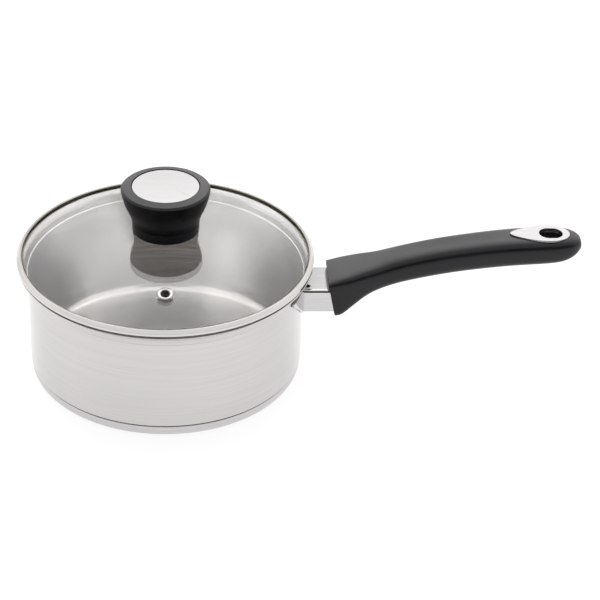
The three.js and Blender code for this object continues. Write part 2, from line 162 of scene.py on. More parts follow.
def makeEdgeWear():
    # a mask that is high on worn outer edges, broken up by noise
    group, entry, leave = newGroup(
        "edgeWear",
        [("Vector", "NodeSocketVector", None), ("Start", "NodeSocketFloat", 0.52),
         ("End", "NodeSocketFloat", 0.6)],
        [("Mask", "NodeSocketFloat")])
    shape = addNode(group, "ShaderNodeNewGeometry")
    span = addNode(group, "ShaderNodeMapRange")
    group.links.new(shape.outputs["Pointiness"], span.inputs["Value"])
    group.links.new(entry.outputs["Start"], span.inputs["From Min"])
    group.links.new(entry.outputs["End"], span.inputs["From Max"])
    patches = addNode(group, "ShaderNodeTexNoise", {"Scale": 180.0, "Detail": 3.0})
    group.links.new(entry.outputs["Vector"], patches.inputs["Vector"])
    broken = rangeNode(group, patches.outputs["Fac"], 0.4, 0.6, 0.2, 1.0)
    mask = mathNode(group, "MULTIPLY", span.outputs["Result"], broken)
    group.links.new(mask, leave.inputs["Mask"])
    return group


def makeMouldGrain():
    # the fine spark-eroded skin of a moulded part
    group, entry, leave = newGroup(
        "mouldGrain",
        [("Vector", "NodeSocketVector", None), ("Grain", "NodeSocketFloat", 2600.0)],
        [("Height", "NodeSocketFloat"), ("Patch", "NodeSocketFloat")])
    fine = addNode(group, "ShaderNodeTexNoise", {"Detail": 2.0, "Roughness": 0.6})
    group.links.new(entry.outputs["Vector"], fine.inputs["Vector"])
    group.links.new(entry.outputs["Grain"], fine.inputs["Scale"])
    patch = addNode(group, "ShaderNodeTexNoise", {"Scale": 35.0, "Detail": 3.0})
    group.links.new(entry.outputs["Vector"], patch.inputs["Vector"])
    group.links.new(fine.outputs["Fac"], leave.inputs["Height"])
    group.links.new(patch.outputs["Fac"], leave.inputs["Patch"])
    return group


turnedBrush = makeTurnedBrush()
straightBrush = makeStraightBrush()
edgeWear = makeEdgeWear()
mouldGrain = makeMouldGrain()
print("shared effects made")


# materials

def startMaterial(name, metallic=0.0):
    material = bpy.data.materials.new(name)
    material.use_nodes = True
    tree = material.node_tree
    shader = tree.nodes["Principled BSDF"]
    shader.inputs["Metallic"].default_value = metallic
    place = addNode(tree, "ShaderNodeTexCoord").outputs["Object"]
    return material, tree, shader, place


# each depth is the bump's, in metres
steelWear = {"start": 0.54, "end": 0.68, "polish": -0.06, "depth": 0.00005}
plasticWear = {"start": 0.56, "end": 0.72, "depth": 0.0001}
glassBump = {"strength": 0.02, "depth": 0.0002}


def bumpInto(tree, shader, height, strength, distance):
    bump = addNode(tree, "ShaderNodeBump", {"Strength": strength, "Distance": distance})
    tree.links.new(height, bump.inputs["Height"])
    tree.links.new(bump.outputs["Normal"], shader.inputs["Normal"])


def brushedSteel(name, look):
    material, tree, shader, place = startMaterial(name, 1.0)
    grain = placeGroup(tree, look["brush"], {"Lines": look["lines"]})
    tree.links.new(place, grain.inputs["Vector"])
    wear = placeGroup(tree, edgeWear, {"Start": steelWear["start"], "End": steelWear["end"]})
    tree.links.new(place, wear.inputs["Vector"])
    tone = rangeNode(tree, grain.outputs["Tone"], 0.3, 0.7, 0.0, 1.0)
    cloud = rangeNode(tree, grain.outputs["Cloud"], 0.35, 0.65, -0.5, 0.5)
    shade = mathNode(tree, "MULTIPLY_ADD", cloud, look["cloudTone"], tone)
    colour = mixColours(tree, shade, look["dark"], look["light"])
    tree.links.new(colour, shader.inputs["Base Color"])
    rough = mathNode(tree, "MULTIPLY_ADD", tone, look["roughSpan"], look["rough"])
    worn = mathNode(tree, "MULTIPLY_ADD", wear.outputs["Mask"], steelWear["polish"], rough)
    tree.links.new(worn, shader.inputs["Roughness"])
    if "anisotropic" in look:
        setInputs(shader, {"Anisotropic": look["anisotropic"], "Anisotropic Rotation": 0.25})
        around = addNode(tree, "ShaderNodeTangent", direction_type="RADIAL", axis="Z")
        tree.links.new(around.outputs[0], shader.inputs["Tangent"])
    bumpInto(tree, shader, grain.outputs["Tone"], look["bump"], steelWear["depth"])
    return material


def mouldedPlastic(name, look):
    material, tree, shader, place = startMaterial(name)
    shader.inputs["Specular IOR Level"].default_value = look["gloss"]
    grain = placeGroup(tree, mouldGrain, {"Grain": look["grain"]})
    tree.links.new(place, grain.inputs["Vector"])
    wear = placeGroup(tree, edgeWear, {"Start": plasticWear["start"], "End": plasticWear["end"]})
    tree.links.new(place, wear.inputs["Vector"])
    patch = rangeNode(tree, grain.outputs["Patch"], 0.35, 0.65, 0.0, 1.0)
    shade = mathNode(tree, "MAXIMUM", mathNode(tree, "MULTIPLY", patch, 0.5), wear.outputs["Mask"])
    colour = mixColours(tree, shade, look["dark"], look["light"])
    tree.links.new(colour, shader.inputs["Base Color"])
    rough = mathNode(tree, "MULTIPLY_ADD", patch, look["roughSpan"], look["rough"])
    tree.links.new(rough, shader.inputs["Roughness"])
    bumpInto(tree, shader, grain.outputs["Height"], look["bump"], plasticWear["depth"])
    return material


def clearGlass(name, look):
    material, tree, shader, place = startMaterial(name)
    setInputs(shader, {"Transmission Weight": 1.0, "IOR": look["ior"]})
    smear = addNode(tree, "ShaderNodeTexNoise", {"Scale": 22.0, "Detail": 4.0})
    tree.links.new(place, smear.inputs["Vector"])
    rough = rangeNode(tree, smear.outputs["Fac"], 0.45, 0.75, 0.0, look["smear"])
    tree.links.new(rough, shader.inputs["Roughness"])
    mask = rangeNode(tree, smear.outputs["Fac"], 0.3, 0.7, 0.0, 1.0)
    colour = mixColours(tree, mask, look["light"], look["dark"])
    tree.links.new(colour, shader.inputs["Base Color"])
    bumpInto(tree, shader, smear.outputs["Fac"], glassBump["strength"], glassBump["depth"])
    return material


# dark and light are the two ends of the colour, rough and roughSpan the roughness and its change
steelLooks = {
    "wallSteel": {"brush": turnedBrush, "lines": 900.0, "cloudTone": 0.5,
                  "dark": (0.59, 0.575, 0.568), "light": (0.625, 0.608, 0.6),
                  "rough": 0.13, "roughSpan": 0.03, "bump": 0.01},
    "insideSteel": {"brush": turnedBrush, "lines": 650.0, "cloudTone": 0.3,
                    "dark": (0.515, 0.5, 0.49), "light": (0.635, 0.62, 0.61),
                    "rough": 0.2, "roughSpan": 0.04, "bump": 0.01, "anisotropic": 0.7},
    "baseSteel": {"brush": turnedBrush, "lines": 1200.0, "cloudTone": 0.3,
                  "dark": (0.56, 0.55, 0.555), "light": (0.64, 0.62, 0.62),
                  "rough": 0.26, "roughSpan": 0.06, "bump": 0.12},
    "bandSteel": {"brush": turnedBrush, "lines": 500.0, "cloudTone": 0.2,
                  "dark": (0.62, 0.605, 0.6), "light": (0.68, 0.665, 0.66),
                  "rough": 0.07, "roughSpan": 0.02, "bump": 0.01},
    "bracketSteel": {"brush": straightBrush, "lines": 1500.0, "cloudTone": 0.2,
                     "dark": (0.57, 0.56, 0.565), "light": (0.63, 0.62, 0.625),
                     "rough": 0.05, "roughSpan": 0.02, "bump": 0.01},
    # painted shade: the bracket's flat top, darker than the rest of the same sheet against the glare from
    # above
    "bracketTopPaintedShade": {"brush": straightBrush, "lines": 1500.0, "cloudTone": 0.3,
                        "dark": (0.27, 0.264, 0.268), "light": (0.31, 0.304, 0.308),
                        "rough": 0.16, "roughSpan": 0.04, "bump": 0.02},
    # painted shade: the dark line on the band's flat top, between band and rim
    "bandTopPaintedShade": {"brush": turnedBrush, "lines": 700.0, "cloudTone": 0.3,
                   "dark": (0.28, 0.268, 0.256), "light": (0.35, 0.336, 0.324),
                   "rough": 0.2, "roughSpan": 0.05, "bump": 0.02},
    "discSteel": {"brush": straightBrush, "lines": 3200.0, "cloudTone": 0.2,
                  "dark": (0.42, 0.412, 0.415), "light": (0.455, 0.446, 0.45),
                  "rough": 0.28, "roughSpan": 0.04, "bump": 0.05},
    "inlaySteel": {"brush": straightBrush, "lines": 2600.0, "cloudTone": 0.2,
                   "dark": (0.285, 0.281, 0.283), "light": (0.325, 0.32, 0.322),
                   "rough": 0.3, "roughSpan": 0.06, "bump": 0.1},
    "eyeletSteel": {"brush": turnedBrush, "lines": 700.0, "cloudTone": 0.2,
                    "dark": (0.33, 0.322, 0.315), "light": (0.41, 0.4, 0.39),
                    "rough": 0.07, "roughSpan": 0.03, "bump": 0.02},
    # painted shade: near black, for the eyelet's bore and the fold along the bracket's top edges
    "paintedShadeSteel": {"brush": turnedBrush, "lines": 900.0, "cloudTone": 0.3,
                  "dark": (0.05, 0.045, 0.04), "light": (0.09, 0.08, 0.07),
                  "rough": 0.35, "roughSpan": 0.1, "bump": 0.05},
    "fastenerSteel": {"brush": turnedBrush, "lines": 1600.0, "cloudTone": 0.4,
                      "dark": (0.45, 0.45, 0.46), "light": (0.58, 0.58, 0.58),
                      "rough": 0.28, "roughSpan": 0.1, "bump": 0.1},
    "coreAluminium": {"brush": turnedBrush, "lines": 800.0, "cloudTone": 0.3,
                      "dark": (0.6, 0.61, 0.63), "light": (0.7, 0.71, 0.72),
                      "rough": 0.4, "roughSpan": 0.1, "bump": 0.2},
    "insertBrass": {"brush": turnedBrush, "lines": 1500.0, "cloudTone": 0.3,
                    "dark": (0.55, 0.4, 0.14), "light": (0.72, 0.55, 0.24),
                    "rough": 0.3, "roughSpan": 0.1, "bump": 0.15},
}
plasticLooks = {
    "gripPlastic": {"grain": 2300.0, "gloss": 0.38, "bump": 0.3,
                    "dark": (0.002, 0.002, 0.004), "light": (0.006, 0.006, 0.01),
                    "rough": 0.32, "roughSpan": 0.06},
    "knobPlastic": {"grain": 2800.0, "gloss": 0.12, "bump": 0.2,
                    "dark": (0.0015, 0.0015, 0.002), "light": (0.004, 0.004, 0.005),
                    "rough": 0.4, "roughSpan": 0.06},
    # painted sheen: a glossier, lighter copy of the knob plastic for its top faces
    "knobTopPaintedSheen": {"grain": 2800.0, "gloss": 0.33, "bump": 0.2,
                       "dark": (0.003, 0.003, 0.004), "light": (0.006, 0.006, 0.008),
                       "rough": 0.33, "roughSpan": 0.05},
    "ringPlastic": {"grain": 3000.0, "gloss": 0.15, "bump": 0.15,
                    "dark": (0.004, 0.004, 0.006), "light": (0.01, 0.01, 0.013),
                    "rough": 0.35, "roughSpan": 0.05},
    # painted shade: the dark groove where the band is crimped over the glass
    "crimpPaintedShade": {"grain": 1800.0, "gloss": 0.3, "bump": 0.2,
                     "dark": (0.07, 0.059, 0.04), "light": (0.12, 0.102, 0.072),
                     "rough": 0.5, "roughSpan": 0.1},
    "sealSilicone": {"grain": 1500.0, "gloss": 0.5, "bump": 0.1,
                     "dark": (0.5, 0.5, 0.48), "light": (0.62, 0.62, 0.6),
                     "rough": 0.6, "roughSpan": 0.1},
}
glassLook = {"ior": 1.5, "smear": 0.02, "light": (0.995, 0.988, 0.99), "dark": (0.98, 0.973, 0.975)}

finishes = {name: brushedSteel(name, look) for name, look in steelLooks.items()}
finishes.update({name: mouldedPlastic(name, look) for name, look in plasticLooks.items()})
finishes["lidGlass"] = clearGlass("lidGlass", glassLook)
print("materials made:", len(finishes))


# small helpers for meshes

def makeObject(name, shape, finish, smoothAngle=35):
    data = bpy.data.meshes.new(name)
    bmesh.ops.recalc_face_normals(shape, faces=shape.faces[:])
    for face in shape.faces:
        face.smooth = True
    shape.to_mesh(data)
    shape.free()
    data.set_sharp_from_angle(angle=radians(smoothAngle))
    piece = bpy.data.objects.new(name, data)
    scene.collection.objects.link(piece)
    for one in [finish] if isinstance(finish, str) else finish:
        data.materials.append(finishes[one])
    return piece


def paintFaces(piece, test, index=1):
    # the faces that pass the test take another of the piece's materials
    for face in piece.data.polygons:
        if test(face.center, face.normal):
            face.material_index = index


def applyModifiers(piece):
    bpy.context.view_layer.update()
    shown = piece.evaluated_get(bpy.context.evaluated_depsgraph_get())
    fresh = bpy.data.meshes.new_from_object(shown)
    old = piece.data
    piece.modifiers.clear()
    piece.data = fresh
    bpy.data.meshes.remove(old)
    fresh.name = piece.name


def carve(piece, cutter, operation="DIFFERENCE"):
    join = piece.modifiers.new("carve", "BOOLEAN")
    join.operation = operation
    join.solver = "EXACT"
    join.object = cutter
    applyModifiers(piece)
    bpy.data.objects.remove(cutter)


def weighNormals(piece):
    piece.modifiers.new("weighNormals", "WEIGHTED_NORMAL").keep_sharp = True


def thicken(piece, thickness, side):
    # side is 1 to grow outwards and -1 to grow inwards
    thick = piece.modifiers.new("thick", "SOLIDIFY")
    thick.thickness = thickness * mm
    thick.offset = side
    applyModifiers(piece)


def roundEdges(piece, width, segments=3, angle=40):
    edge = piece.modifiers.new("roundEdges", "BEVEL")
    edge.width = width * mm
    edge.segments = segments
    edge.limit_method = "ANGLE"
    edge.angle_limit = radians(angle)
    edge.harden_normals = False


def drawProfile(shape, corners, closed, roundSteps):
    # corners are (radius, height, rounding) in the half-plane of X and Z
    points = [shape.verts.new((corner[0] * mm, 0, corner[1] * mm)) for corner in corners]
    for first, second in zip(points, points[1:]):
        shape.edges.new((first, second))
    if closed:
        shape.edges.new((points[-1], points[0]))
    for point, (_, _, rounding) in zip(points, corners):
        if rounding:
            bmesh.ops.bevel(shape, geom=[point], offset=rounding * mm, offset_type="OFFSET",
                            segments=roundSteps, profile=0.5, affect="VERTICES", material=-1)


def turnShape(shape, steps):
    bmesh.ops.spin(shape, geom=shape.verts[:] + shape.edges[:], cent=(0, 0, 0), axis=(0, 0, 1),
                   dvec=(0, 0, 0), angle=2 * pi, steps=steps, use_merge=True, use_duplicate=False)
    bmesh.ops.remove_doubles(shape, verts=shape.verts[:], dist=1e-6)
    bmesh.ops.dissolve_degenerate(shape, dist=1e-7, edges=shape.edges[:])


def turnedPiece(name, corners, finish, closed=False, steps=192, roundSteps=6, place=None):
    shape = bmesh.new()
    drawProfile(shape, corners, closed, roundSteps)
    turnShape(shape, steps)
    if place:
        bmesh.ops.transform(shape, matrix=place, verts=shape.verts[:])
    return makeObject(name, shape, finish)


def plainCylinder(radius, bottom, top, steps, place=None):
    shape = bmesh.new()
    middle = Matrix.Translation((0, 0, (top + bottom) / 2 * mm))
    bmesh.ops.create_cone(shape, cap_ends=True, segments=steps, radius1=radius * mm, radius2=radius * mm,
                          depth=(top - bottom) * mm, matrix=middle)
    if place:
        bmesh.ops.transform(shape, matrix=place, verts=shape.verts[:])
    return makeObject("cutter", shape, "fastenerSteel")


def plainBox(low, high):
    shape = bmesh.new()
    size = [(b - a) * mm for a, b in zip(low, high)]
    middle = Matrix.Translation([(b + a) / 2 * mm for a, b in zip(low, high)])
    bmesh.ops.create_cube(shape, size=1, matrix=middle @ Matrix.Diagonal((*size, 1)))
    return makeObject("cutter", shape, "fastenerSteel")


def cutSlot(piece, reach, half, under, depth):
    # a driver's slot across a screw head
    carve(piece, plainBox((-reach, -half, under - depth), (reach, half, under + depth)))


def attach(piece, body, node):
    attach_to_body(piece, body)
    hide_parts(node)


# camera, floor and studio

# place in metres, angles in degrees, lens and sensor in millimetres
view = {"place": (0.0091, -1.0075, 0.6831), "heading": 4.014, "down": 32.38, "roll": 2.12,
        "lens": 120.0, "sensor": 36, "nearest": 0.05}
floorLook = {"size": 3.0, "colour": (0.17, 0.17, 0.17, 1), "rough": 0.9, "glow": 0.86}
studio = {
    "air": (1.0, 0.995, 0.985), "viewerSide": (0.07, 0.056, 0.045),
    # each ramp gives where it starts and ends along its axis, then its values at the two ends
    "behind": (-0.1, 0.2, 0.0, 1.0),
    "panelLeft": (-0.36, -0.29, 0.0, 1.0), "panelRight": (0.2, 0.38, 1.0, 0.0),
    "panelRise": (0.3, 0.68, 0.4, 1.8), "panelTop": (0.88, 0.935, 1.0, 0.42),
    "panelHot": (0.14, 0.17, 1.0, 1.5),
    "sideRise": (0.1, 0.3, 0.0, 0.75), "sideLeft": (-0.8, -0.6, 0.15, 1.0),
    "sideRight": (0.6, 0.8, 1.0, 0.15),
    "gapLeft": (-0.14, -0.09, 0.0, 1.0), "gapRight": (0.04, 0.1, 1.0, 0.0),
    "gapTop": (0.56, 0.62, 1.0, 0.0),
    "viewerStart": (-0.5, -0.3, 1.0, 0.0), "viewerFoot": (-0.02, 0.06, 0.0, 1.0),
    "viewerTop": (0.54, 0.66, 1.0, 0.0)}


def makeCamera():
    heading, down, roll = (radians(view[key]) for key in ("heading", "down", "roll"))
    ahead = Vector((sin(heading) * cos(down), cos(heading) * cos(down), -sin(down)))
    right = Vector((cos(heading), -sin(heading), 0))
    above = right.cross(ahead)
    turnedRight = right * cos(roll) + above * sin(roll)
    turnedAbove = above * cos(roll) - right * sin(roll)
    columns = Matrix((turnedRight, turnedAbove, -ahead)).transposed()
    camera = bpy.data.objects.new("camera", bpy.data.cameras.new("camera"))
    camera.data.lens = view["lens"]
    camera.data.sensor_width = view["sensor"]
    camera.data.clip_start = view["nearest"]
    camera.matrix_world = Matrix.Translation(view["place"]) @ columns.to_4x4()
    scene.collection.objects.link(camera)
    scene.camera = camera


def makeFloor():
    shape = bmesh.new()
    bmesh.ops.create_grid(shape, x_segments=8, y_segments=8, size=floorLook["size"])
    floor = makeObject("floor", shape, [])
    material, _, shader, _ = startMaterial("floorPaper")
    setInputs(shader, {"Base Color": floorLook["colour"], "Roughness": floorLook["rough"],
                       "Emission Color": (1, 1, 1, 1), "Emission Strength": floorLook["glow"]})
    floor.data.materials.append(material)


def makeStudio():
    # a pale room with a large panel of light above and behind, and a dark side where the viewer stands
    world = bpy.data.worlds.new("studio")
    scene.world = world
    world.use_nodes = True
    tree = world.node_tree
    background = tree.nodes["Background"]
    split = addNode(tree, "ShaderNodeSeparateXYZ")
    tree.links.new(addNode(tree, "ShaderNodeTexCoord").outputs["Generated"], split.inputs[0])
    x, y, z = (split.outputs[axis] for axis in "XYZ")

    def ramp(value, name):
        return rangeNode(tree, value, *studio[name], True)

    def times(*values):
        total = values[0]
        for value in values[1:]:
            total = mathNode(tree, "MULTIPLY", total, value)
        return total

    panel = times(ramp(x, "panelLeft"), ramp(x, "panelRight"))
    glow = times(panel, ramp(z, "panelRise"), ramp(z, "panelTop"), ramp(x, "panelHot"))
    sides = times(ramp(z, "sideRise"), ramp(x, "sideLeft"), ramp(x, "sideRight"))
    # a plain stretch below the panel
    gap = times(ramp(x, "gapLeft"), ramp(x, "gapRight"), ramp(z, "gapTop"))
    lit = mathNode(tree, "SUBTRACT", 1.0, gap)
    extra = times(ramp(y, "behind"), lit, mathNode(tree, "ADD", glow, sides))
    bright = mathNode(tree, "ADD", extra, 1.0)
    shade = times(ramp(y, "viewerStart"), ramp(z, "viewerFoot"), ramp(z, "viewerTop"))
    tint = mixColours(tree, shade, studio["air"], studio["viewerSide"])
    tree.links.new(tint, background.inputs["Color"])
    tree.links.new(bright, background.inputs["Strength"])


makeCamera()
makeFloor()
makeStudio()
scene.view_settings.view_transform = "Standard"
print("camera, floor and studio made")


# the pan

pan = {
    "radius": 81, "sheet": 0.8, "bottom": 3.7, "nest": 79.2, "nestCorner": 4.2, "edge": 8.1, "corner": 1.4,
    "fillet": 8.5, "flareStart": 64.5, "lipRadius": 86.6, "lipTop": 72.1, "lipEdge": 0.35, "floorSeam": 0.4,
    # out from the wall, up from the flare's start, rounding
    "outerFlare": [(0, -0.4, 0.5), (0.5, 0, 0.4), (1.2, 3.8, 1.6), (4.3, 6.8, 1.0)],
    "innerFlare": [(4.6, 7.6, 1.0), (1.3, 4.3, 1.4), (0.6, 0.3, 0.25), (0, 0, 0.2)]}


def makePan():
    outside, sheet = pan["radius"], pan["sheet"]
    inside = outside - sheet
    floorTop = pan["bottom"] + sheet
    lipTop, flare = pan["lipTop"], pan["flareStart"]
    outer = [(outside + run, flare + rise, rounding) for run, rise, rounding in pan["outerFlare"]]
    inner = [(inside + run, flare + rise, rounding) for run, rise, rounding in pan["innerFlare"]]
    corners = [
        (0, pan["bottom"], 0), (pan["nest"], pan["bottom"], pan["nestCorner"]),
        (pan["nest"], pan["edge"], 0.1), (outside, pan["edge"], pan["corner"]), *outer,
        (pan["lipRadius"], lipTop - sheet, pan["lipEdge"]), (pan["lipRadius"], lipTop, pan["lipEdge"]),
        *inner, (inside, floorTop, pan["fillet"]), (0, floorTop, 0)]
    piece = turnedPiece("panBody", corners, ["wallSteel", "insideSteel"], steps=256, roundSteps=8)
    paintFaces(piece, lambda middle, normal: middle.xy.dot(normal.xy) < 0
               or (normal.z > 0.5 and middle.xy.length < (inside + pan["floorSeam"]) * mm))
    weighNormals(piece)
    attach(piece, "root", "pan_body")


cap = {"radius": 80.4, "top": 7.8, "sheet": 0.8, "corner": 5.6, "innerCorner": 5.0}


def makeCap():
    radius, sheet = cap["radius"], cap["sheet"]
    corners = [
        (0, 0, 0), (radius, 0, cap["corner"]), (radius, cap["top"], 0.25),
        (radius - sheet, cap["top"], 0.2), (radius - sheet, sheet, cap["innerCorner"]), (0, sheet, 0)]
    piece = turnedPiece("baseCap", corners, "baseSteel", steps=256, roundSteps=10)
    weighNormals(piece)
    attach(piece, "root", "base_cap")


makePan()
makeCap()
print("pan made")


# the handle bracket

bracket = {"halfWidth": 14, "top": 58, "bottom": 42.5, "sheet": 1.2, "start": 70, "end": 105, "corner": 2.2,
           "wall": 81.35, "clearance": 0.6, "reach": 36, "wingTop": 62.5, "wingTip": 60.5, "relief": 1.7,
           "reliefOut": 83.4, "reliefIn": 5.2, "edge": 0.3}


def makeBoxSection():
    # the folded box, open at both ends
    half, top, bottom = bracket["halfWidth"], bracket["top"], bracket["bottom"]
    start, end = bracket["start"], bracket["end"]
    shape = bmesh.new()
    size = Matrix.Diagonal(((end - start) * mm, 2 * half * mm, (top - bottom) * mm, 1))
    middle = Matrix.Translation(((start + end) / 2 * mm, 0, (top + bottom) / 2 * mm))
    bmesh.ops.create_cube(shape, size=1, matrix=middle @ size)
    ends = [face for face in shape.faces if abs(face.normal.x) > 0.9]
    bmesh.ops.delete(shape, geom=ends, context="FACES_ONLY")
    along = [edge for edge in shape.edges if abs((edge.verts[0].co - edge.verts[1].co).x) > 0.01]
    bmesh.ops.bevel(shape, geom=along, offset=bracket["corner"] * mm, offset_type="OFFSET", segments=8,
                    profile=0.5, affect="EDGES", material=-1)
    piece = makeObject("handleBracket", shape, ["bracketSteel", "bracketTopPaintedShade", "paintedShadeSteel"], 60)
    thicken(piece, bracket["sheet"], -1)
    carve(piece, plainCylinder(bracket["wall"] + bracket["clearance"], 30, 70, 256))
    return piece


def makeWings():
    # a curved sheet on the wall, cut slanting at both ends
    half, bottom, wall = bracket["halfWidth"], bracket["bottom"], bracket["wall"]
    wings = bmesh.new()
    low = wings.verts.new((wall * mm, 0, bottom * mm))
    high = wings.verts.new((wall * mm, 0, bracket["wingTop"] * mm))
    line = wings.edges.new((low, high))
    turn = asin(bracket["reach"] / wall)
    bmesh.ops.rotate(wings, cent=(0, 0, 0), matrix=Matrix.Rotation(-turn, 3, "Z"), verts=[low, high])
    bmesh.ops.spin(wings, geom=[low, high, line], cent=(0, 0, 0), axis=(0, 0, 1), dvec=(0, 0, 0),
                   angle=2 * turn, steps=48, use_merge=False, use_duplicate=False)
    rise, run = bracket["wingTip"] - bottom, bracket["reach"] - half
    for side in (-1, 1):
        bmesh.ops.bisect_plane(wings, geom=wings.verts[:] + wings.edges[:] + wings.faces[:],
                               plane_co=(0, side * half * mm, bottom * mm),
                               plane_no=(0, side * rise, -run), clear_outer=True)
    piece = makeObject("wings", wings, "bracketSteel", 60)
    if piece.data.polygons[0].normal.x < 0:
        piece.data.flip_normals()
    thicken(piece, bracket["sheet"], 1)
    return piece


def makeBracket():
    half, top = bracket["halfWidth"], bracket["top"]
    piece = makeBoxSection()
    carve(piece, makeWings(), "UNION")
    for side in (-1, 1):
        place = Matrix.Translation((bracket["reliefOut"] * mm, side * (half - bracket["reliefIn"]) * mm, 0))
        carve(piece, plainCylinder(bracket["relief"], top - 4, top + 2, 48, place))
    roundEdges(piece, bracket["edge"], 3, 35)
    applyModifiers(piece)
    # the flat top is duller and painted darker as shade against the glare from above, and the fold along
    # each top edge is painted dark as a reflection of the dark room side
    paintFaces(piece, lambda middle, normal: normal.z > 0.95 and middle.z > (top - 0.6) * mm)
    paintFaces(piece, lambda middle, normal: 0.33 < normal.z < 0.7 and abs(normal.y) > 0.6
               and abs(normal.x) < 0.2 and middle.z > (top - bracket["corner"] - 0.2) * mm, 2)
    weighNormals(piece)
    attach(piece, "root", "handle_bracket")


makeBracket()
print("bracket made")


# the grip

grip = {
    "start": 97.5, "lean": 4.2 / 20.5, "leanRun": 12, "points": 32, "crease": 0.94,
    "tailInset": 1.2, "tailDepth": 0.4, "socketStart": 90, "socketEnd": 105.3, "gap": 0.3, "sharp": 38,
    # along X, top, underside, half-width, power of the superellipse
    "stations": [
        (97.5, 62.7, 40.2, 15.5, 9), (98.3, 63, 39.8, 15.5, 8.5), (101.5, 64.5, 39.8, 15.6, 7),
        (105.5, 66.2, 42, 15.6, 6), (109, 67.5, 44.4, 15.4, 5), (113, 69, 47.6, 14.9, 4.4),
        (118, 70.5, 51.6, 14, 3.7), (125, 72.3, 55.1, 13, 3.2), (133, 75.3, 57.7, 12.3, 3),
        (141, 77.6, 60.2, 12, 3), (157, 81.6, 63.9, 12, 3), (173, 84.5, 67, 12, 3), (190, 87, 69.3, 12.1, 3),
        (205, 88.7, 71.1, 12.4, 3), (220, 89.4, 72, 12.5, 3), (231, 89.7, 72.8, 12, 3),
        (237, 89.3, 74.4, 10.8, 3), (241.5, 88.1, 77.2, 8.6, 3), (244.4, 86.4, 80.2, 5.4, 2.6)]}
inlay = {"start": 202.3, "end": 238, "half": 9.3, "top": 89.3, "thickness": 1.2, "sheet": 0.6, "edge": 0.28,
         "taper": 0.32, "widest": 0.15, "bulge": 0.06,
         "holeStart": 219.7, "holeEnd": 233.5, "holeHalf": 5.6, "holeGap": 0.15, "lip": 2.6}
gripScrew = {"x": 136, "z": 66, "slope": 21.8, "seat": 5.2, "bore": 2.3, "well": 4, "head": 3.6,
             "headHeight": 2.2, "shank": 2, "end": 6, "slot": 0.4, "slotDepth": 0.8}


def gripRing(shape, station):
    x, top, bottom, half, power = station
    lean = min(max(1 - (x - grip["start"]) / grip["leanRun"], 0), 1) * grip["lean"]
    middle, halfHeight = (top + bottom) / 2, (top - bottom) / 2
    made = bmesh.ops.create_circle(shape, segments=grip["points"], radius=1)["verts"]
    for vert in made:
        across, up = vert.co.x, vert.co.y
        across = abs(across) ** (2 / power) * (1 if across > 0 else -1)
        up = abs(up) ** (2 / power) * (1 if up > 0 else -1)
        vert.co = Vector((x - up * halfHeight * lean, across * half, middle + up * halfHeight)) * mm
    return made


def ringEdges(ring):
    wanted = set(ring)
    return [edge for edge in {e for v in ring for e in v.link_edges} if set(edge.verts) <= wanted]


def dropOutline(grow):
    # a drop shape along X, blunt at the tail end
    shape = bmesh.new()
    middle = (inlay["start"] + inlay["end"]) / 2
    length = (inlay["end"] - inlay["start"]) / 2 + grow
    made = bmesh.ops.create_circle(shape, segments=96, radius=1)["verts"]
    for vert in made:
        along, across = vert.co.x, vert.co.y
        taper = 1 + inlay["taper"] * (along - inlay["widest"])
        width = (inlay["half"] + grow) * taper * (1 - inlay["bulge"] * along * along)
        vert.co = Vector((middle + along * length, across * width, 0)) * mm
    return shape, made


def slotOutline(shape, grow):
    half = inlay["holeHalf"] + grow
    shift = (inlay["holeEnd"] - inlay["holeStart"]) / 2 - inlay["holeHalf"]
    middle = (inlay["holeEnd"] + inlay["holeStart"]) / 2
    made = bmesh.ops.create_circle(shape, segments=48, radius=half * mm)["verts"]
    for vert in made:
        vert.co.x += (middle + (shift if vert.co.x > 0 else -shift)) * mm
    return made


def onlyVerts(geometry):
    return [item for item in geometry if isinstance(item, bmesh.types.BMVert)]


def prism(shape, edges, bottom, top):
    face = bmesh.ops.contextual_create(shape, geom=edges)["faces"][0]
    bmesh.ops.translate(shape, vec=(0, 0, bottom * mm), verts=face.verts[:])
    grown = bmesh.ops.extrude_face_region(shape, geom=[face])["geom"]
    bmesh.ops.translate(shape, vec=(0, 0, (top - bottom) * mm), verts=onlyVerts(grown))
    return makeObject("cutter", shape, "fastenerSteel")


def tangFrame():
    place = Matrix.Translation((gripScrew["x"] * mm, 0, gripScrew["z"] * mm))
    return place @ Matrix.Rotation(-radians(gripScrew["slope"]), 4, "Y")


